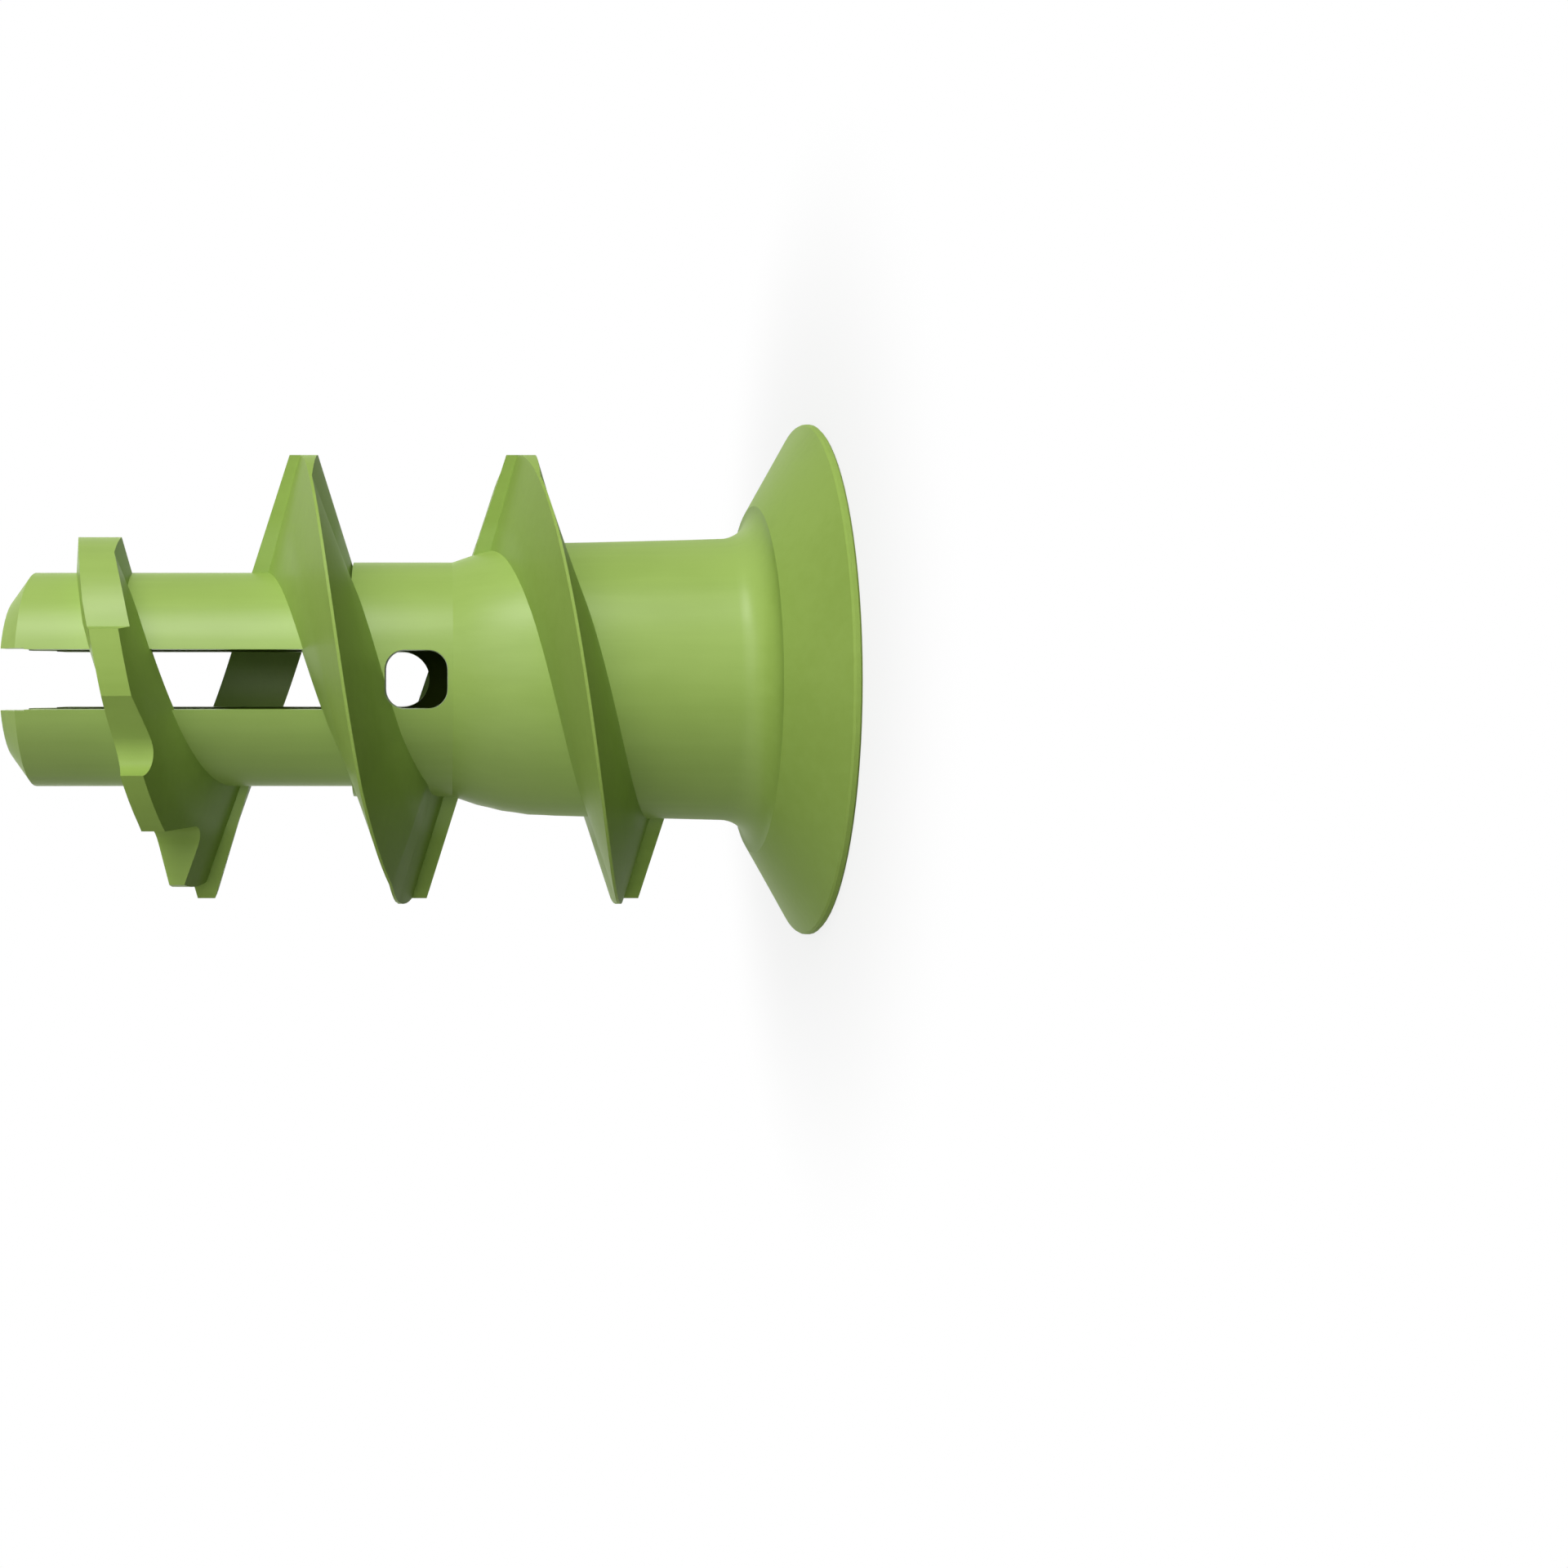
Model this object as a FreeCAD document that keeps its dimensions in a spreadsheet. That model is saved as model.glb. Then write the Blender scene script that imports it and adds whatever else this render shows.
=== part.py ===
"""A self-drilling plasterboard anchor, moulded in one piece from nylon.

The anchor stands on the outer face of its flange, at height 0, with its split tip up along +Z. Its slots
face -Y and +Y. All lengths are in millimetres and all angles in degrees. An angle round the axis is
measured from +X towards +Y, and the outer thread climbs towards the tip as that angle grows.
"""
import FreeCAD, Part

import math
import os

import Sketcher

NODE = "anchor_body"
PARTS_FOLDER = "parts"
TOLERANCE = 1e-6

# Name of each size, its value, and what it is.
SIZES = (
    ("overall_length", 22.0, "flange face to tip"),
    ("tip_radius", 2.985, "outside of the split tip"),
    ("tip_chamfer_run", 0.56, "length of the chamfer at the end of the tip"),
    ("tip_chamfer_drop", 0.745, "depth of that chamfer"),
    ("step_height", 12.58, "where the tip becomes the thicker middle"),
    ("middle_radius", 3.27, "outside of the middle"),
    ("shoulder_height", 7.0, "where the round shoulder runs out into the neck"),
    ("shoulder_radius", 3.81, "outside of the neck at the shoulder"),
    ("shoulder_curve", 7.8, "radius of the shoulder's outline"),
    ("neck_radius", 3.925, "outside of the neck where it meets the flange"),
    ("neck_fillet", 0.91, "hollow fillet under the flange"),
    ("ring_height", 1.48, "height of the sharp edge where the fillet meets the flange cone"),
    ("flange_radius", 7.07, "outside of the flange"),
    ("rim_height", 0.2, "height of the corner between the flange cone and the rim"),
    ("rim_bevel", 0.04, "reach of the bevel on each side of that corner"),
    ("face_bevel", 0.05, "bevel between the rim and the flange face"),
    ("thread_pitch", 6.0, "climb of the thread in one turn"),
    ("thread_radius", 6.24, "outside of the thread"),
    ("thread_height", 6.575, "flange-side edge of the thread's crest where it first faces -Y"),
    ("crest_width", 0.075, "width of the crest"),
    ("flange_flank", 17.2, "slope of the thread's side towards the flange"),
    ("tip_flank", 15.6, "slope of the thread's side towards the tip"),
    ("parting_flank", 18.3, "slope of that side at a parting line"),
    ("step_flank", 21.4, "slope of that side at the parting line where the thread meets the step"),
    ("cutter_foot_flank", 20.0, "slope of the toothed half-turn's side towards the flange, at its start"),
    ("cutter_heel_flank", 14.4, "slope of that side at its end"),
    ("cutter_first_flank", 16.0, "slope of the toothed half-turn's side towards the tip, at its start"),
    ("cutter_flank", 9.5, "slope of that side along its middle"),
    ("cutter_last_flank", 4.5, "slope of that side at its end"),
    ("thread_seat", 2.85, "radius at which the thread is rooted in the wall"),
    ("parting_angle", 6.0, "turn of the mould's parting plane from the plane between the two slots"),
    ("flange_hold", 25.0, "arc before a parting line in which the flange side of the thread stays level"),
    ("tip_hold", 17.7, "arc after a parting line in which the tip side of the thread stays level"),
    ("cutter_hold", 22.5, "the same arc on the toothed half-turn"),
    ("cutter_thinned", 50.0, "arc to where the toothed half-turn has thinned down from its start"),
    ("cutter_even_end", 126.0, "arc after which it thins down once more"),
    ("sag_depth", 0.12, "dip of the crest of the half-turn that meets the step"),
    ("sag_start", 21.0, "arc after its parting line where the dip starts"),
    ("sag_lowest", 36.0, "arc to the lowest place of the dip"),
    ("sag_end", 70.0, "arc to the end of the dip"),
    ("runout_angle", 60.0, "arc in which the thread fades out near the flange"),
    ("runout_radius", 3.6, "outside of the thread where it has faded out"),
    ("lead_radius", 3.99, "outside of the first, low stretch of the toothed half-turn"),
    ("second_radius", 4.78, "outside of its second stretch"),
    ("tooth_radius", 5.2, "outside of its tooth"),
    ("last_radius", 5.775, "outside of its last stretch"),
    ("lead_end", 1.377, "place along X where the low stretch ends"),
    ("scoop_start", -0.42, "place along X where the scooped gullet starts"),
    ("scoop_foot", -1.5, "place along X where its straight ramp ends"),
    ("scoop_back", 4.13, "distance in front of the axis of that place"),
    ("scoop_curve", 0.65, "radius of its hollow"),
    ("tooth_edge", -2.46, "place along X of the sharp edge of the tooth"),
    ("tooth_end", -3.98, "place along X where the tooth drops off"),
    ("gullet_back", 1.25, "distance in front of the axis of the last gullet's floor, where it is deepest"),
    ("gullet_curve", 0.52, "radius of the corner between its wall and its floor"),
    ("gullet_mouth", 1.43, "distance in front of the axis of the floor's outer end"),
    ("slot_width", 1.6, "width of the two slots that split the tip"),
    ("near_slot_end", 12.66, "height where the slot facing -Y ends"),
    ("far_slot_end", 10.48, "height where the slot facing +Y ends"),
    ("mouth_width", 1.66, "width of the slots at the very tip"),
    ("mouth_depth", 0.8, "length of that wider stretch"),
    ("window_width", 1.56, "width of the window facing -Y"),
    ("window_bottom", 9.99, "lowest edge of the window"),
    ("window_length", 1.66, "height of the window"),
    ("window_corner", 0.515, "corner radius of the window"),
    ("bore_radius", 1.6, "bore along the axis"),
    ("sink_radius", 3.3, "countersink at the flange face"),
    ("sink_depth", 1.7, "depth of the countersink"),
    ("recess_width", 1.5, "width of each wing of the cross recess at the flange face"),
    ("recess_radius", 3.0, "reach of each wing at the flange face"),
    ("recess_depth", 4.6, "depth of the cross recess"),
    ("recess_floor_width", 1.1, "width of each wing at its floor"),
    ("recess_floor_radius", 2.2, "reach of each wing at its floor"),
)

TURN = 360.0
HALF_TURN = 180.0
QUARTER_TURN = 90.0
HALF_TURNS = 4          # plain half-turns of thread, before the toothed one at the tip
SECTION_STEP = 24.0     # widest arc between two sections of a ridge
STEP_HALF_TURN = 2      # the one that meets the step, counted from 0
SHOULDER_CONES = 4      # cones that make up the round shoulder
SPARE = 1.0             # how far a cutting tool passes the wall that it cuts
OUTLINE_SPARE = 16.0    # arc by which the saw outline passes the parting line
CORNER_SHARE = 0.4      # most of the last gullet's floor that the corner beside it may take up
SAW_START = 1.5         # pitches from the lowest crest height to the foot of the saw prism
SAW_REACH = 1.2         # pitches from the foot of the saw prism to its top


def make_sheet(doc):
    """Put every size in a spreadsheet under its own name."""
    sheet = doc.addObject("Spreadsheet::Sheet", "sizes")
    for row, (name, value, meaning) in enumerate(SIZES, start=1):
        sheet.set(f"A{row}", name)
        sheet.set(f"B{row}", str(value))
        sheet.set(f"C{row}", meaning)
        sheet.setAlias(f"B{row}", name)
    doc.recompute()
    return sheet


def origin_plane(body, role):
    """Return one of a body's own origin planes."""
    for feature in body.Origin.OriginFeatures:
        if feature.Role == role:
            return feature
    raise ValueError(f"no origin plane {role}")


def new_sketch(body, name, role):
    """Start a sketch on one of the body's origin planes."""
    sketch = body.newObject("Sketcher::SketchObject", name)
    sketch.AttachmentSupport = [(origin_plane(body, role), "")]
    sketch.MapMode = "FlatFace"
    return sketch


def hold(sketch, kind, refs, text):
    """Add a measured constraint whose value is an expression on the sheet."""
    index = sketch.addConstraint(Sketcher.Constraint(kind, *refs, sketch.evalExpression(text)))
    sketch.setExpression(f"Constraints[{index}]", text)


def pin(sketch, edge, end, across, up):
    """Hold one end of a sketch edge at a place given by two expressions."""
    for kind, axis, text in (("DistanceX", -2, across), ("DistanceY", -1, up)):
        if text == "0":
            sketch.addConstraint(Sketcher.Constraint("PointOnObject", edge, end, axis))
        else:
            hold(sketch, kind, (-1, 1, edge, end), text)


def arc_between(start, end, radius, side):
    """Return the short arc between two points that bulges left (1) or right (-1) of the way along."""
    chord = end - start
    middle = (start + end) * 0.5
    across = FreeCAD.Vector(-chord.y, chord.x, 0).normalize()
    centre = middle - across * (side * math.sqrt(radius ** 2 - (chord.Length / 2) ** 2))
    first, last = (end, start) if side > 0 else (start, end)
    angles = [math.atan2(point.y - centre.y, point.x - centre.x) for point in (first, last)]
    circle = Part.Circle(centre, FreeCAD.Vector(0, 0, 1), radius)
    return Part.ArcOfCircle(circle, *angles)


def draw(sketch, corners):
    """Draw a closed outline in a sketch.

    Each corner is (across, up, edge): two expressions for its place, and the edge to the next corner,
    which is None for a straight edge or (radius, side) for an arc.
    """
    places = [
        FreeCAD.Vector(float(sketch.evalExpression(across)), float(sketch.evalExpression(up)), 0)
        for across, up, _ in corners
    ]
    ends = []
    for index, (across, up, edge) in enumerate(corners):
        start, end = places[index], places[(index + 1) % len(places)]
        if edge is None:
            number = sketch.addGeometry(Part.LineSegment(start, end))
            first, last = 1, 2
        else:
            radius, side = edge
            arc = arc_between(start, end, float(sketch.evalExpression(radius)), side)
            number = sketch.addGeometry(arc)
            first, last = (2, 1) if side > 0 else (1, 2)
            hold(sketch, "Radius", (number,), radius)
        pin(sketch, number, first, across, up)
        ends.append((number, first, last))
    for index, (number, _, last) in enumerate(ends):
        following, first, _ = ends[(index + 1) % len(ends)]
        sketch.addConstraint(Sketcher.Constraint("Coincident", number, last, following, first))


def check_cut(doc, body):
    """Recompute after a cut and make sure that it took material away from its body."""
    before = body.Shape.Volume
    doc.recompute()
    if not before - body.Shape.Volume > TOLERANCE:
        raise RuntimeError(f"{body.Tip.Label} cuts nothing")


def make_shank(doc):
    """Turn the plain shank with its flange, then split its tip with the two slots.

    The round shoulder is drawn as a few short cones, which keeps its facets few.
    """
    body = doc.addObject("PartDesign::Body", "shank")
    profile = new_sketch(body, "shank_profile", "XZ_Plane")
    ring = "(sizes.neck_radius + sizes.neck_fillet)"
    slope = f"atan((sizes.flange_radius - {ring}) / (sizes.ring_height - sizes.rim_height))"
    drop = "(sizes.shoulder_radius - sizes.middle_radius)"
    shoulder_turn = f"acos(1 - {drop} / sizes.shoulder_curve)"

    def on_shoulder(share):
        turn = f"({share} * {shoulder_turn})"
        return (
            f"sizes.shoulder_radius - sizes.shoulder_curve * (1 - cos({turn}))",
            f"sizes.shoulder_height + sizes.shoulder_curve * sin({turn})",
            None,
        )

    draw(profile, (
        ("0", "0", None),
        ("sizes.flange_radius - sizes.face_bevel", "0", None),
        ("sizes.flange_radius", "sizes.face_bevel", None),
        ("sizes.flange_radius", "sizes.rim_height - sizes.rim_bevel", None),
        (
            f"sizes.flange_radius - sizes.rim_bevel * sin({slope})",
            f"sizes.rim_height + sizes.rim_bevel * cos({slope})",
            None,
        ),
        (ring, "sizes.ring_height", ("sizes.neck_fillet", 1)),
        ("sizes.neck_radius", "sizes.ring_height + sizes.neck_fillet", None),
        *(on_shoulder(step / SHOULDER_CONES) for step in range(SHOULDER_CONES + 1)),
        ("sizes.middle_radius", "sizes.step_height", None),
        ("sizes.tip_radius", "sizes.step_height", None),
        ("sizes.tip_radius", "sizes.overall_length - sizes.tip_chamfer_run", None),
        ("sizes.tip_radius - sizes.tip_chamfer_drop", "sizes.overall_length", None),
        ("0", "sizes.overall_length", None),
    ))
    turned = body.newObject("PartDesign::Revolution", "turned_shank")
    turned.Profile = profile
    turned.ReferenceAxis = (profile, ["V_Axis"])
    doc.recompute()

    top = f"sizes.overall_length + {SPARE}"
    half = "sizes.slot_width / 2"
    far_bend = f"sizes.far_slot_end + {half}"
    for name, reverse, corners in (
        ("near_slot", True, (
            (f"-{half}", "sizes.near_slot_end", None),
            (half, "sizes.near_slot_end", None),
            (half, top, None),
            (f"-{half}", top, None),
        )),
        ("far_slot", False, (
            (f"-{half}", far_bend, (half, -1)),
            ("0", "sizes.far_slot_end", (half, -1)),
            (half, far_bend, None),
            (half, top, None),
            (f"-{half}", top, None),
        )),
    ):
        outline = new_sketch(body, f"{name}_outline", "XZ_Plane")
        draw(outline, corners)
        slot = body.newObject("PartDesign::Pocket", name)
        slot.Profile = outline
        slot.Reversed = reverse
        slot.setExpression("Length", f"sizes.middle_radius + {SPARE}")
        check_cut(doc, body)

    mouth_outline = new_sketch(body, "slot_mouth_outline", "XZ_Plane")
    draw(mouth_outline, (
        ("-sizes.mouth_width / 2", "sizes.overall_length - sizes.mouth_depth", None),
        ("sizes.mouth_width / 2", "sizes.overall_length - sizes.mouth_depth", None),
        ("sizes.mouth_width / 2", top, None),
        ("-sizes.mouth_width / 2", top, None),
    ))
    mouth = body.newObject("PartDesign::Pocket", "slot_mouth")
    mouth.Profile = mouth_outline
    mouth.Midplane = True
    mouth.setExpression("Length", f"2 * (sizes.tip_radius + {SPARE})")
    check_cut(doc, body)
    return body


def ridge_section(sheet, turned, low, high, crest_radius, flange_flank, tip_flank):
    """Return the outline of the thread where a half-plane through the axis cuts it.

    turned is the angle of the half-plane, low and high are the crest's two heights.
    """
    depth = crest_radius - sheet.thread_seat
    low_root = low - depth * math.tan(math.radians(flange_flank))
    high_root = high + depth * math.tan(math.radians(tip_flank))
    corners = (
        (sheet.thread_seat, low_root),
        (crest_radius, low),
        (crest_radius, high),
        (sheet.thread_seat, high_root),
    )
    cosine, sine = math.cos(math.radians(turned)), math.sin(math.radians(turned))
    points = [FreeCAD.Vector(radius * cosine, radius * sine, height) for radius, height in corners]
    return Part.makePolygon(points + points[:1])


def ridge_span(start, end, section_at):
    """Loft the thread between two angles, through sections that a function of the angle gives."""
    steps = max(2, math.ceil((end - start) / SECTION_STEP))
    sections = [section_at(start + (end - start) * step / steps) for step in range(steps + 1)]
    return Part.makeLoft(sections, True, False)


def ridge_between(stops, section_at):
    """Join the spans of thread between neighbouring stops, where its sides may have a kink."""
    stops = sorted(set(stops))
    spans = [ridge_span(first, last, section_at) for first, last in zip(stops, stops[1:])]
    return spans[0].fuse(spans[1:]).removeSplitter()


def crest_height(sheet, angle):
    """Return the height of the crest's flange-side edge at an angle on the lowest turns."""
    return sheet.thread_height + sheet.thread_pitch * (angle + QUARTER_TURN) / TURN


def value_after(course, arc):
    """Return the value that a course of (arc, value) pairs has after an arc, straight between pairs."""
    if arc <= course[0][0]:
        return course[0][1]
    for (first, before), (last, after) in zip(course, course[1:]):
        if arc <= last:
            return before + (after - before) * (arc - first) / (last - first)
    return course[-1][1]


def half_turn_shape(sheet, tip_hold, tip_flanks, flange_flanks, sags):
    """Return half a turn of thread, from one parting line to the next, as it leaves the mould.

    Each mould half can only be drawn off if nothing undercuts it. So the thread's side towards the tip
    stays level just after a parting line, and its side towards the flange just before the next one.
    The slopes of the two sides and the dip of the crest are courses of (arc from the start, value) pairs.
    """
    start = parting_start(sheet)
    end = start + HALF_TURN
    tip_free = start + tip_hold
    flange_held = end - sheet.flange_hold

    def section_at(angle):
        arc = angle - start
        sag = value_after(sags, arc)
        low = crest_height(sheet, min(angle, flange_held)) - sag
        high = crest_height(sheet, max(angle, tip_free)) + sheet.crest_width - sag
        flanks = value_after(flange_flanks, arc), value_after(tip_flanks, arc)
        return ridge_section(sheet, angle, low, high, sheet.thread_radius, *flanks)

    kinks = [start + arc for arc, _ in (*tip_flanks, *sags)]
    return ridge_between((start, tip_free, *kinks, flange_held, end), section_at)


def parting_start(sheet):
    """Return the angle of the parting line on the -X side, where the lowest half-turn starts."""
    return -HALF_TURN - sheet.parting_angle


def runout_shape(sheet):
    """Return the end of the thread near the flange, which fades into the neck behind the parting line."""
    end = parting_start(sheet)
    start = end - sheet.runout_angle
    flange_held = end - sheet.flange_hold

    def section_at(angle):
        faded = max(0.0, (flange_held - angle) / (flange_held - start))
        low = crest_height(sheet, min(angle, flange_held))
        high = crest_height(sheet, angle) + sheet.crest_width
        radius = sheet.thread_radius - faded * (sheet.thread_radius - sheet.runout_radius)
        return ridge_section(sheet, angle, low, high, radius, sheet.flange_flank, sheet.tip_flank)

    return ridge_between((start, flange_held, end), section_at)


def make_thread(doc, sheet):
    """Make the run-out, the plain half-turns and the toothed half-turn at the tip."""
    runout = doc.addObject("Part::Feature", "thread_runout")
    runout.Shape = runout_shape(sheet)
    pieces = [runout]

    level = ((0, 0),)
    even = ((0, sheet.flange_flank),)
    settled = (sheet.tip_hold, sheet.tip_flank)
    sag = ((sheet.sag_start, 0), (sheet.sag_lowest, sheet.sag_depth), (sheet.sag_end, 0))
    plain = half_turn_shape(sheet, sheet.tip_hold, ((0, sheet.parting_flank), settled), even, level)
    at_step = half_turn_shape(sheet, sheet.tip_hold, ((0, sheet.step_flank), settled), even, sag)
    for number in range(HALF_TURNS):
        half = doc.addObject("Part::Feature", f"thread_half_{number + 1}")
        half.Shape = at_step if number == STEP_HALF_TURN else plain
        half.Placement = half_turn_place(sheet, number)
        pieces.append(half)

    blank = doc.addObject("Part::Feature", "toothed_blank")
    cutter_flanks = (
        (sheet.cutter_hold, sheet.cutter_first_flank),
        (sheet.cutter_thinned, sheet.cutter_flank),
        (sheet.cutter_even_end, sheet.cutter_flank),
        (HALF_TURN, sheet.cutter_last_flank),
    )
    foot_flanks = ((0, sheet.cutter_foot_flank), (HALF_TURN, sheet.cutter_heel_flank))
    blank.Shape = half_turn_shape(sheet, sheet.cutter_hold, cutter_flanks, foot_flanks, level)
    blank.Placement = half_turn_place(sheet, HALF_TURNS)
    toothed = doc.addObject("Part::Common", "toothed_half")
    toothed.Base = blank
    toothed.Tool = make_tooth_outline(doc)
    pieces.append(toothed)
    return pieces


def half_turn_place(sheet, number):
    """Return where the half-turn of this number stands, counted from the flange."""
    climb = FreeCAD.Vector(0, 0, number * sheet.thread_pitch / 2)
    return FreeCAD.Placement(climb, FreeCAD.Rotation(FreeCAD.Vector(0, 0, 1), number * HALF_TURN))


def make_tooth_outline(doc):
    """Make the saw-like prism that the last half-turn of thread is trimmed to, seen along the axis.

    Its first step is drawn off with the mould, so its face leans with the parting plane.
    """
    body = doc.addObject("PartDesign::Body", "tooth_outline")
    sketch = new_sketch(body, "saw_outline", "XY_Plane")
    lean = "tan(sizes.parting_angle * 1 deg)"
    past = f"((sizes.parting_angle - {OUTLINE_SPARE}) * 1 deg)"

    def front(radius, across):
        return f"-sqrt({radius} ^ 2 - ({across}) ^ 2)"

    second_start = f"sizes.lead_end - (sizes.second_radius - sizes.lead_radius) * {lean}"
    last_start = "-sqrt(sizes.last_radius ^ 2 - sizes.gullet_mouth ^ 2)"
    corner = f"min(sizes.gullet_curve; {CORNER_SHARE} * (sizes.tooth_end - {last_start}))"
    floor_run = f"(sizes.tooth_end - {corner} - {last_start})"
    floor_lean = f"atan((sizes.gullet_mouth - sizes.gullet_back) / {floor_run})"
    floor_start = f"sizes.tooth_end - {corner} * (1 + sin({floor_lean}))"
    floor_back = f"-sizes.gullet_back - {corner} * (1 - cos({floor_lean}))"
    draw(sketch, (
        ("0", "0", None),
        (f"-sizes.last_radius * cos({past})", f"-sizes.last_radius * sin({past})", ("sizes.last_radius", -1)),
        (last_start, "-sizes.gullet_mouth", None),
        (floor_start, floor_back, (corner, 1)),
        ("sizes.tooth_end", f"-sizes.gullet_back - {corner}", None),
        ("sizes.tooth_end", front("sizes.tooth_radius", "sizes.tooth_end"), ("sizes.tooth_radius", -1)),
        ("sizes.tooth_edge", front("sizes.tooth_radius", "sizes.tooth_edge"), ("sizes.scoop_curve", 1)),
        ("sizes.scoop_foot", "-sizes.scoop_back", None),
        ("sizes.scoop_start", front("sizes.second_radius", "sizes.scoop_start"), ("sizes.second_radius", -1)),
        (second_start, front("sizes.second_radius", second_start), None),
        ("sizes.lead_end", front("sizes.lead_radius", "sizes.lead_end"), ("sizes.lead_radius", -1)),
        (f"sizes.lead_radius * cos({past})", f"sizes.lead_radius * sin({past})", None),
    ))
    sketch.setExpression(
        "AttachmentOffset.Base.z", f"sizes.thread_height + {SAW_START} * sizes.thread_pitch"
    )
    pad = body.newObject("PartDesign::Pad", "saw_prism")
    pad.Profile = sketch
    pad.setExpression("Length", f"{SAW_REACH} * sizes.thread_pitch")
    doc.recompute()
    return body


def make_anchor(doc, blank):
    """Bore the threaded blank from the flange and open its window and its cross recess."""
    body = doc.addObject("PartDesign::Body", NODE)
    body.Label = NODE
    body.BaseFeature = blank
    doc.recompute()

    bore_profile = new_sketch(body, "bore_profile", "XZ_Plane")
    draw(bore_profile, (
        ("0", f"-{SPARE}", None),
        ("sizes.sink_radius", f"-{SPARE}", None),
        ("sizes.sink_radius", "0", None),
        ("sizes.bore_radius", "sizes.sink_depth", None),
        ("sizes.bore_radius", f"sizes.overall_length + {SPARE}", None),
        ("0", f"sizes.overall_length + {SPARE}", None),
    ))
    bore = body.newObject("PartDesign::Groove", "screw_bore")
    bore.Profile = bore_profile
    bore.ReferenceAxis = (bore_profile, ["V_Axis"])
    check_cut(doc, body)

    window_outline = new_sketch(body, "window_outline", "XZ_Plane")
    side = "sizes.window_width / 2"
    inner = f"({side} - sizes.window_corner)"
    low = "sizes.window_bottom"
    top = "(sizes.window_bottom + sizes.window_length)"
    corner = ("sizes.window_corner", -1)
    draw(window_outline, (
        (f"-{inner}", low, None),
        (inner, low, corner),
        (side, f"{low} + sizes.window_corner", None),
        (side, f"{top} - sizes.window_corner", corner),
        (inner, top, None),
        (f"-{inner}", top, corner),
        (f"-{side}", f"{top} - sizes.window_corner", None),
        (f"-{side}", f"{low} + sizes.window_corner", corner),
    ))
    window = body.newObject("PartDesign::Pocket", "window")
    window.Profile = window_outline
    window.Reversed = True
    window.setExpression("Length", "sizes.shoulder_radius")
    check_cut(doc, body)

    wing_sections = []
    for name, height, reach, width in (
        ("wing_mouth", "0", "sizes.recess_radius", "sizes.recess_width / 2"),
        ("wing_floor", "sizes.recess_depth", "sizes.recess_floor_radius", "sizes.recess_floor_width / 2"),
    ):
        section = new_sketch(body, name, "XY_Plane")
        draw(section, (
            (f"-{reach}", f"-{width}", None),
            (reach, f"-{width}", None),
            (reach, width, None),
            (f"-{reach}", width, None),
        ))
        section.setExpression("AttachmentOffset.Base.z", height)
        wing_sections.append(section)
    wing = body.newObject("PartDesign::SubtractiveLoft", "recess_wing")
    wing.Profile = wing_sections[0]
    wing.Sections = wing_sections[1:]
    wing.Ruled = True
    check_cut(doc, body)

    cross = body.newObject("PartDesign::PolarPattern", "cross_recess")
    cross.Originals = [wing]
    cross.Axis = (wing_sections[0], ["N_Axis"])
    cross.Angle = QUARTER_TURN
    cross.Occurrences = 2
    body.Tip = cross
    check_cut(doc, body)
    return body


def check_document(doc):
    """Stop if any object failed to build."""
    for item in doc.Objects:
        if "Invalid" in item.State or "Error" in item.State:
            raise RuntimeError(f"{item.Label} is {item.State}")


def export(body):
    """Check the finished solid and write it to its file."""
    shape = body.Shape
    if shape.isNull() or not shape.isValid() or len(shape.Solids) != 1:
        raise RuntimeError(f"{body.Label} is not one valid solid")
    os.makedirs(PARTS_FOLDER, exist_ok=True)
    shape.exportStep(os.path.join(PARTS_FOLDER, f"{body.Label}.step"))
    print(f"{body.Label}: volume {shape.Volume:.2f} mm3, faces {len(shape.Faces)}")


def main():
    """Build the anchor and write its file."""
    doc = FreeCAD.newDocument("drywall_anchor")
    sheet = make_sheet(doc)
    shank = make_shank(doc)
    thread = make_thread(doc, sheet)
    blank = doc.addObject("Part::MultiFuse", "threaded_blank")
    blank.Shapes = [shank, *thread]
    blank.Refine = True
    doc.recompute()
    anchor = make_anchor(doc, blank)
    check_document(doc)
    export(anchor)


main()
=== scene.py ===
"""The self-drilling plasterboard anchor, dressed as one nylon moulding and lit in a white studio.

The anchor stands on its flange at Z = 0 with its split tip up. The camera is rolled, so that the tip
points to the left of the picture. All lengths are in metres and all angles in degrees.
"""

import logging
import math
from dataclasses import dataclass
from enum import Enum
from typing import Any, Sequence

import bmesh
import bpy
from mathutils import Matrix, Vector


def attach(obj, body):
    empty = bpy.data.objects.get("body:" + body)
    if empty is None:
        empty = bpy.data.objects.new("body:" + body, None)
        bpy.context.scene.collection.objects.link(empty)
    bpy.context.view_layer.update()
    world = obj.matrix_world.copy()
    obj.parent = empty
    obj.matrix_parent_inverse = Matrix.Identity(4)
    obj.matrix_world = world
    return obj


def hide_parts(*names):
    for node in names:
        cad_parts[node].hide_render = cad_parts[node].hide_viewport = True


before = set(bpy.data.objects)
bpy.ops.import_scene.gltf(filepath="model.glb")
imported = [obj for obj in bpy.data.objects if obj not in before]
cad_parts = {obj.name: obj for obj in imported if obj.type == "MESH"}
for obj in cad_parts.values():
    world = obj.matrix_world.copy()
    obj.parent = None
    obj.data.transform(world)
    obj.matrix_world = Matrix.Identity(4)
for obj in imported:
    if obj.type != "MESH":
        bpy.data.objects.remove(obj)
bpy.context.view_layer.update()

log = logging.getLogger("anchor_scene")

Colour = tuple[float, float, float]
Socket = bpy.types.NodeSocket
Inputs = dict[str | int, Any] | Sequence[Any]

MM = 0.001
NODE = "anchor_body"
BODY = "root"

WHITE: Colour = (1.0, 1.0, 1.0)
PLAIN_WHITE = 1.0       # strength at which a white background shows as white
LEVEL = (1.0, 1.0, 0.0)     # keeps the two level coordinates of a place and drops its height

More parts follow.
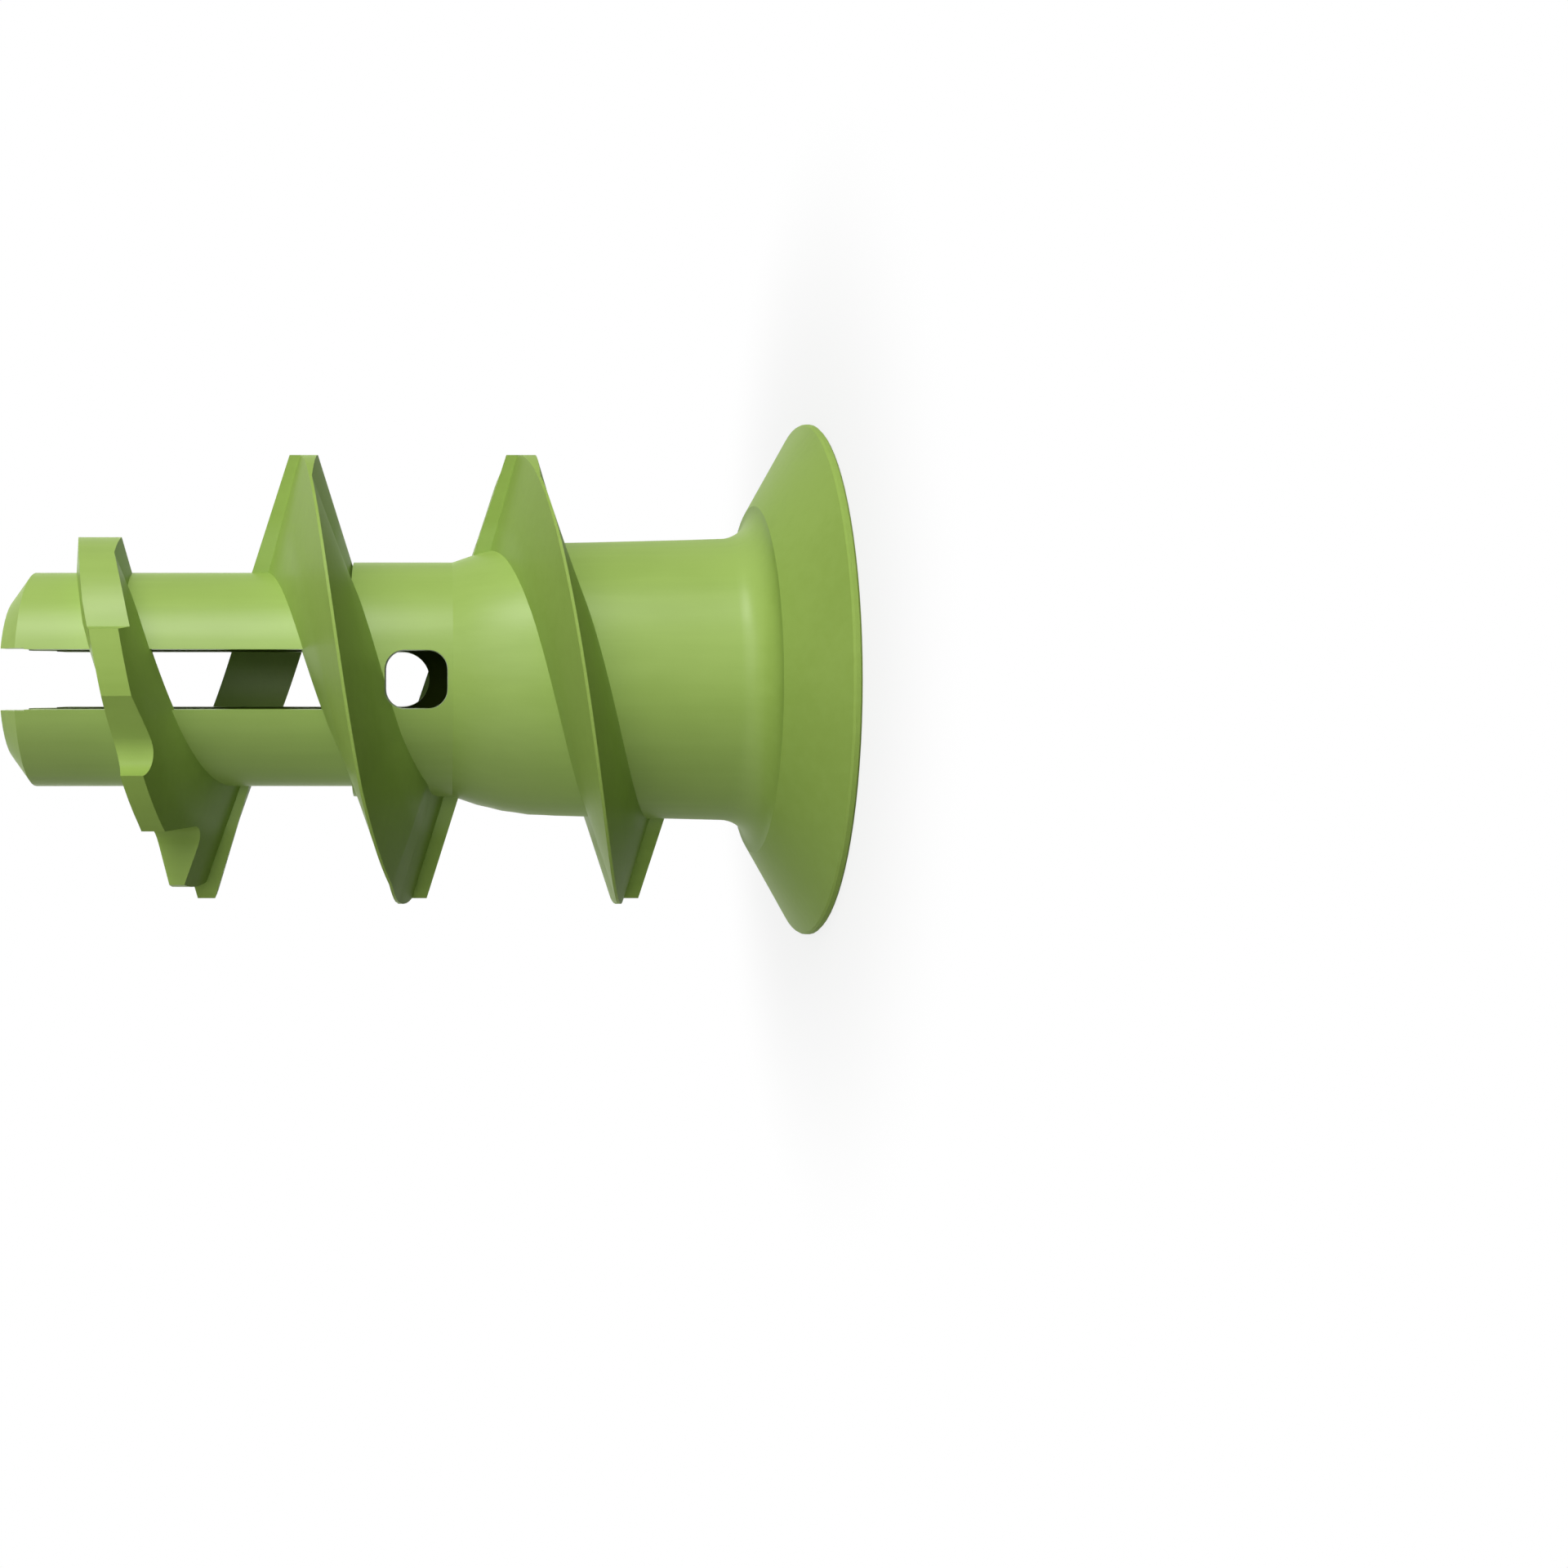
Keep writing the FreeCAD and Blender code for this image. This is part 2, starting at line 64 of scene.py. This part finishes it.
# The curve of a screen's colours: the end and the slope of its straight foot, and the power above it.
FOOT_END = 0.04045
FOOT_SLOPE = 12.92
POWER_OFFSET = 0.055
POWER = 2.4
FULL_CHANNEL = 255

# Sockets of a Mix node that blends two colours. It has others of the same names for numbers.
MIX_SHARE, MIX_LOW, MIX_HIGH = 0, 6, 7
MIX_RESULT = 2


class Ray(Enum):
    """The kinds of ray that see the plain white background, by the names of their outputs."""

    CAMERA = "Is Camera Ray"
    GLOSSY = "Is Glossy Ray"
    TRANSMISSION = "Is Transmission Ray"


def linear(red: int, green: int, blue: int) -> Colour:
    """Turn a colour of 0 to 255 as it is seen on a screen into Blender's linear light.

    Args:
        red: The red share, from 0 to 255.
        green: The green share, from 0 to 255.
        blue: The blue share, from 0 to 255.

    Returns:
        The linear colour.
    """
    def channel(value: int) -> float:
        """Return one channel in linear light."""
        share = value / FULL_CHANNEL
        if share <= FOOT_END:
            return share / FOOT_SLOPE
        return ((share + POWER_OFFSET) / (1.0 + POWER_OFFSET)) ** POWER

    return channel(red), channel(green), channel(blue)


def opaque(colour: Colour) -> tuple[float, float, float, float]:
    """Give a colour the full alpha that a colour socket asks for."""
    return (*colour, 1.0)


def placed(name: str, data: bpy.types.ID) -> bpy.types.Object:
    """Add a new object at the origin to the scene.

    Args:
        name: The object's name.
        data: Its mesh, lamp or camera.

    Returns:
        The object.
    """
    thing = bpy.data.objects.new(name, data)
    bpy.context.scene.collection.objects.link(thing)
    return thing


class Value:
    """A shader socket that can be used in Python sums."""

    def __init__(self, shader: "Shader", socket: Socket) -> None:
        """Keep the socket and the shader that its further nodes go in."""
        self.shader = shader
        self.socket = socket

    def _math(self, operation: str, *operands: "Value | float") -> "Value":
        """Add a Math node to this value's shader."""
        return self.shader.node("ShaderNodeMath", {"operation": operation}, operands)

    def __add__(self, other: "Value | float") -> "Value":
        """Return the sum."""
        return self._math("ADD", self, other)

    __radd__ = __add__

    def __sub__(self, other: "Value | float") -> "Value":
        """Return the difference."""
        return self._math("SUBTRACT", self, other)

    def __rsub__(self, other: float) -> "Value":
        """Return a number less this value."""
        return self._math("SUBTRACT", other, self)

    def __mul__(self, other: "Value | float") -> "Value":
        """Return the product."""
        return self._math("MULTIPLY", self, other)

    __rmul__ = __mul__

    def larger(self, other: "Value | float") -> "Value":
        """Return the larger of two values."""
        return self._math("MAXIMUM", self, other)

    def between(self, low: float, high: float) -> "Value":
        """Return how far this value has gone from one bound to another, with soft ends.

        Args:
            low: Where the result leaves 0.
            high: Where it reaches 1.

        Returns:
            The share, from 0 to 1.
        """
        settings = {"interpolation_type": "SMOOTHSTEP"}
        sockets = {"Value": self, "From Min": low, "From Max": high}
        return self.shader.node("ShaderNodeMapRange", settings, sockets)


class Shader:
    """A node material or a world that is built step by step."""

    def __init__(self, owner: bpy.types.Material | bpy.types.World) -> None:
        """Empty the nodes of a material or a world.

        Args:
            owner: The material or the world.
        """
        owner.use_nodes = True
        self.owner = owner
        self.tree = owner.node_tree
        self.tree.nodes.clear()

    def make(self, kind: str, settings: dict[str, Any], inputs: Inputs) -> bpy.types.Node:
        """Add one node.

        Args:
            kind: The node's type.
            settings: Its own settings, set before its sockets.
            inputs: Values or links of its sockets, by name or number in a dict, or in order.

        Returns:
            The node.
        """
        node = self.tree.nodes.new(kind)
        for key, value in settings.items():
            setattr(node, key, value)
        for key, value in inputs.items() if isinstance(inputs, dict) else enumerate(inputs):
            if isinstance(value, Value):
                self.tree.links.new(value.socket, node.inputs[key])
            else:
                node.inputs[key].default_value = value
        return node

    def node(
        self, kind: str, settings: dict[str, Any], inputs: Inputs, output: str | int = 0
    ) -> Value:
        """Add one node and return one of its outputs.

        Args:
            kind: The node's type.
            settings: Its own settings.
            inputs: Values or links of its sockets.
            output: The name or number of the output that is wanted.

        Returns:
            The output, ready for sums.
        """
        return Value(self, self.make(kind, settings, inputs).outputs[output])

    def place(self) -> Value:
        """Return the place on the piece, in its own coordinates."""
        return self.node("ShaderNodeTexCoord", {}, {}, "Object")

    def scaled(self, place: Value, scale: Sequence[float]) -> Value:
        """Return a place with each coordinate times its own number."""
        return self.node("ShaderNodeMapping", {}, {"Vector": place, "Scale": scale})

    def distance(self, place: Value) -> Value:
        """Return how far a place is from the origin."""
        return self.node("ShaderNodeVectorMath", {"operation": "LENGTH"}, [place], "Value")

    def radius(self, place: Value) -> Value:
        """Return how far a place is from the upright axis."""
        level = self.node("ShaderNodeVectorMath", {"operation": "MULTIPLY"}, [place, LEVEL])
        return self.distance(level)

    def noise(self, place: Value, scale: float, detail: float) -> Value:
        """Return smooth noise around 0.5 at a place."""
        sockets = {"Vector": place, "Scale": scale, "Detail": detail}
        return self.node("ShaderNodeTexNoise", {}, sockets, "Fac")

    def mix(self, share: Value, low: Any, high: Any) -> Value:
        """Blend two colours by a share."""
        sockets = {MIX_SHARE: share, MIX_LOW: low, MIX_HIGH: high}
        return self.node("ShaderNodeMix", {"data_type": "RGBA"}, sockets, MIX_RESULT)

    def bump(self, height: Value, depth: float, under: Value | None = None) -> Value:
        """Return the normal of a surface that a pattern of heights raises.

        Args:
            height: The pattern, from 0 to 1.
            depth: How high it stands where it is 1.
            under: The normal of a pattern that it is laid over, if there is one.

        Returns:
            The raised surface's normal.
        """
        sockets = {"Strength": 1.0, "Distance": depth, "Height": height}
        if under is not None:
            sockets["Normal"] = under
        return self.node("ShaderNodeBump", {}, sockets)

    def backdrop_seen(self) -> Value:
        """Tell the kinds of ray that see the plain white background from the others.

        Returns:
            1 for those kinds of ray, and 0 for others.
        """
        path = self.make("ShaderNodeLightPath", {}, {})
        camera, glossy, transmission = (Value(self, path.outputs[ray.value]) for ray in Ray)
        return camera.larger(glossy).larger(transmission)

    def finish(self, surface: Value) -> bpy.types.Material | bpy.types.World:
        """Link a surface to the output.

        Args:
            surface: What the material or the world shows.

        Returns:
            The finished material or world.
        """
        kind = "Material" if isinstance(self.owner, bpy.types.Material) else "World"
        self.make(f"ShaderNodeOutput{kind}", {}, {"Surface": surface})
        return self.owner


@dataclass(frozen=True)
class MouldedNylon:
    """Satin green nylon as it leaves the mould.

    Its colour is cloudy, with fine streaks along the flow and a fine pebble. The walls of the central
    hole are painted darker, as painted shade for the dim inside. The round body has a weak satin coat,
    and the thread and the flange are more matt.
    """

    base: Colour = linear(150, 178, 87)
    shade: Colour = linear(144, 172, 81)
    # Painted shade: a darker colour laid on the walls of the central hole for the dim inside, though
    # the nylon there is no darker.
    bore_painted_shade: Colour = linear(70, 86, 28)
    bore_shade_reach: tuple[float, float] = (1.62 * MM, 1.85 * MM)    # radii between which it ends

    cloud_scale: float = 260.0
    cloud_detail: float = 3.0
    streak_stretch: tuple[float, float, float] = (3400.0, 3400.0, 260.0)    # long along the axis
    pebble_scale: float = 9000.0
    fine_detail: float = 2.0        # of the streaks and the pebble
    cloud_share: float = 0.7        # of the tone
    streak_share: float = 0.3
    tone_reach: tuple[float, float] = (0.35, 0.65)      # noise that shows the shade and the base
    streak_depth: float = 0.004 * MM
    pebble_depth: float = 0.002 * MM

    roughness: float = 0.50
    roughness_swing: float = 0.08   # along the streaks
    density: float = 1.5
    gloss: float = 0.02
    coat: float = 0.17
    coat_density: float = 2.2
    coat_roughness: float = 0.37
    matt_reach: tuple[float, float] = (3.95 * MM, 4.60 * MM)    # radii between which the coat thins
    matt_share: float = 0.75        # of the coat that is gone on the thread and the flange

    def material(self) -> bpy.types.Material:
        """Build the material.

        Returns:
            The finished material.
        """
        shader = Shader(bpy.data.materials.new("moulded_nylon"))
        place = shader.place()
        cloud = shader.noise(place, self.cloud_scale, self.cloud_detail)
        streak = shader.noise(shader.scaled(place, self.streak_stretch), 1.0, self.fine_detail)
        pebble = shader.noise(place, self.pebble_scale, self.fine_detail)
        tone = (cloud * self.cloud_share + streak * self.streak_share).between(*self.tone_reach)
        skin = shader.mix(tone, opaque(self.shade), opaque(self.base))
        radius = shader.radius(place)
        # Mask of the painted shade: 0 on the walls of the central hole and 1 outside them.
        outside = radius.between(*self.bore_shade_reach)
        polished = outside * (1.0 - radius.between(*self.matt_reach) * self.matt_share)
        grain = shader.bump(pebble, self.pebble_depth)
        surface = shader.node("ShaderNodeBsdfPrincipled", {}, {
            # The walls of the central hole take the painted shade colour.
            "Base Color": shader.mix(outside, opaque(self.bore_painted_shade), skin),
            "Roughness": self.roughness + (streak - 0.5) * self.roughness_swing,
            "IOR": self.density,
            "Specular IOR Level": self.gloss,
            "Coat Weight": polished * self.coat,
            "Coat Roughness": self.coat_roughness,
            "Coat IOR": self.coat_density,
            "Normal": shader.bump(streak, self.streak_depth, grain),
        })
        return shader.finish(surface)


@dataclass(frozen=True)
class StudioFloor:
    """Matt white floor that keeps the shadow near the anchor and is plain white further out."""

    paint: Colour = (0.86, 0.86, 0.86)      # to the rays that see the background
    bounce: Colour = (0.12, 0.12, 0.12)     # to the light that it throws back
    near: float = 6.0 * MM      # where the shadow starts to fade
    far: float = 16.0 * MM      # where it has faded out
    veil: float = 0.82          # share of plain white in the shadow before it fades

    def material(self) -> bpy.types.Material:
        """Build the material.

        Returns:
            The finished material.
        """
        shader = Shader(bpy.data.materials.new("studio_floor"))
        faded = shader.distance(shader.place()).between(self.near, self.far)
        seen = shader.backdrop_seen()
        share = seen * (faded * (1.0 - self.veil) + self.veil)
        colour = shader.mix(seen, opaque(self.bounce), opaque(self.paint))
        matt = shader.node("ShaderNodeBsdfDiffuse", {}, {"Color": colour})
        lit = {"Color": opaque(WHITE), "Strength": PLAIN_WHITE}
        white = shader.node("ShaderNodeEmission", {}, lit)
        return shader.finish(shader.node("ShaderNodeMixShader", {}, [share, matt, white]))


@dataclass
class Anchor:
    """The moulded anchor, dressed over its solid."""

    name: str = "anchor_moulding"
    finish: MouldedNylon = MouldedNylon()
    merge_distance: float = 0.0005 * MM     # points nearer to each other than this become one
    sharp_angle: float = 11.0       # a real edge that turns by more than this is sharp

    def mesh(self) -> bpy.types.Mesh:
        """Copy the solid's mesh, merged into one skin with its real edges marked sharp.

        The solid's mesh is open along the borders of its faces, so those borders are its real edges.

        Returns:
            The new mesh.
        """
        shell = bmesh.new()
        shell.from_mesh(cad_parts[NODE].data)
        for edge in shell.edges:
            edge.seam = edge.is_boundary
        bmesh.ops.remove_doubles(shell, verts=shell.verts, dist=self.merge_distance)
        limit = math.radians(self.sharp_angle)
        for edge in shell.edges:
            edge.smooth = not (edge.seam and edge.calc_face_angle(0.0) > limit)
            edge.seam = False
        for face in shell.faces:
            face.smooth = True
        mesh = bpy.data.meshes.new(self.name)
        shell.to_mesh(mesh)
        shell.free()
        # The normals stored with the solid would override the edges that were just marked.
        stored = mesh.attributes.get("custom_normal")
        if stored is not None:
            mesh.attributes.remove(stored)
        return mesh

    def build(self) -> bpy.types.Object:
        """Make the piece, dress it and put it on its body.

        Returns:
            The finished piece.
        """
        piece = placed(self.name, self.mesh())
        piece.data.materials.append(self.finish.material())
        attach(piece, BODY)
        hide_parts(NODE)
        return piece


@dataclass(frozen=True)
class LampPlan:
    """One distant lamp: where it shines from, its strength, and how wide it looks in degrees."""

    name: str
    direction: tuple[float, float, float]
    strength: float
    softness: float


@dataclass
class Studio:
    """The floor, lamps, world and camera."""

    floor_finish: StudioFloor = StudioFloor()
    floor_reach: float = 400.0 * MM     # from the anchor to its nearest edge
    floor_gap: float = 0.02 * MM        # keeps it clear of the flat flange face
    room_light: float = 0.30            # strength of the even light from all round
    lamps: tuple[LampPlan, ...] = (
        LampPlan("sheen", (0.87, -0.50, 0.15), strength=1.70, softness=26.0),
        LampPlan("key", (0.50, -0.87, 0.15), strength=1.96, softness=60.0),
        LampPlan("fill", (-0.50, -0.87, 0.15), strength=0.30, softness=60.0),
        LampPlan("under", (-0.87, -0.50, 0.15), strength=0.25, softness=80.0),
        LampPlan("back", (0.0, 0.99, 0.12), strength=0.80, softness=60.0),
    )

    lens: float = 41.775
    shift: tuple[float, float] = (0.2238, -0.0667)
    nearest: float = 1.0 * MM           # what is nearer to the camera isn't drawn
    camera_place: tuple[float, float, float] = (0.0, -50.96 * MM, 10.377 * MM)
    # Where the right side, the top and the back of the camera point.
    camera_turn: tuple[tuple[float, float, float], ...] = (
        (0.0, 0.0, -1.0), (1.0, 0.0, 0.0), (0.0, -1.0, 0.0)
    )

    def floor(self) -> None:
        """Lay the floor just under the anchor."""
        sheet = bmesh.new()
        bmesh.ops.create_grid(sheet, x_segments=1, y_segments=1, size=self.floor_reach)
        bmesh.ops.translate(sheet, verts=sheet.verts, vec=(0.0, 0.0, -self.floor_gap))
        mesh = bpy.data.meshes.new("studio_floor")
        sheet.to_mesh(mesh)
        sheet.free()
        mesh.materials.append(self.floor_finish.material())
        placed("studio_floor", mesh)

    def lamp(self, plan: LampPlan) -> None:
        """Hang one lamp.

        Args:
            plan: What the lamp is and where it shines from.
        """
        light = bpy.data.lights.new(plan.name, "SUN")
        light.energy = plan.strength
        light.angle = math.radians(plan.softness)
        toward = Vector(plan.direction).to_track_quat("Z", "Y")
        placed(plan.name, light).rotation_euler = toward.to_euler()

    def world(self) -> None:
        """Surround the anchor with even light, and show plain white to the rays that see it."""
        shader = Shader(bpy.data.worlds.new("studio"))
        strength = shader.backdrop_seen() * (PLAIN_WHITE - self.room_light) + self.room_light
        sockets = {"Color": opaque(WHITE), "Strength": strength}
        bpy.context.scene.world = shader.finish(shader.node("ShaderNodeBackground", {}, sockets))

    def camera(self) -> None:
        """Set up the rolled camera."""
        data = bpy.data.cameras.new("studio_camera")
        data.lens = self.lens
        data.shift_x, data.shift_y = self.shift
        data.clip_start = self.nearest
        turned = Matrix(self.camera_turn).transposed().to_4x4()
        turned.translation = self.camera_place
        camera = placed("studio_camera", data)
        camera.matrix_world = turned
        bpy.context.scene.camera = camera

    def build(self) -> None:
        """Set up everything round the anchor."""
        bpy.context.scene.view_settings.view_transform = "Standard"
        self.floor()
        for plan in self.lamps:
            self.lamp(plan)
        self.world()
        self.camera()


def main() -> None:
    """Build the studio and the anchor."""
    logging.basicConfig(level=logging.INFO, format="%(message)s")
    Studio().build()
    log.info("studio is ready")
    anchor = Anchor().build()
    log.info("%s: %d faces", anchor.name, len(anchor.data.polygons))


if __name__ == "__main__":
    main()
